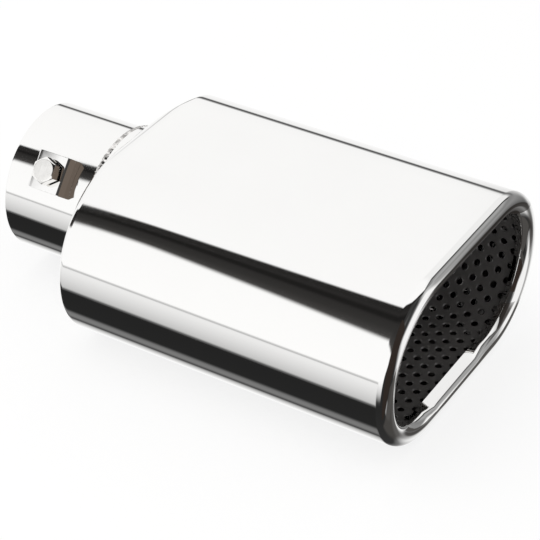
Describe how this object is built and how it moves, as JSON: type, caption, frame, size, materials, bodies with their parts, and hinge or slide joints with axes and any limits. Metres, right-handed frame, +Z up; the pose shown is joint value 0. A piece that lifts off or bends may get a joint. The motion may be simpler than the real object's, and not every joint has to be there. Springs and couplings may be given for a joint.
{
  "type": "exhaust tip",
  "caption": "Clamp-on exhaust tip: a polished flat-oval shell with a rolled lip and a black perforated liner, on a round sleeve whose side bolt grips the tailpipe.",
  "frame": {"origin": "centre of the sleeve's open mouth", "axes": "+X along the gas path from the sleeve to the outlet, +Z up, the wide round sides face -Y and +Y"},
  "size_m": [0.2, 0.13, 0.074],
  "materials": {
    "polished_stainless": "mirror-polished stainless steel",
    "weld_metal": "rough weld metal, brushed clean",
    "black_liner": "semi-gloss black",
    "fastener_steel": "bright plated steel"
  },
  "bodies": {
    "tip": {"outer_shell": "polished_stainless", "inlet_sleeve": "polished_stainless", "weld_bead": "weld_metal", "perforated_liner": "black_liner", "clamp_bracket": "polished_stainless", "clamp_nut": "fastener_steel"},
    "bolt": {"clamp_bolt": "fastener_steel"}
  },
  "joints": [
    {"name": "clamp_bolt_feed", "type": "slide", "parent": "tip", "child": "bolt", "axis": [0, -0.766, 0.6428], "range_m": [-0.001, 0.003]}
  ]
}
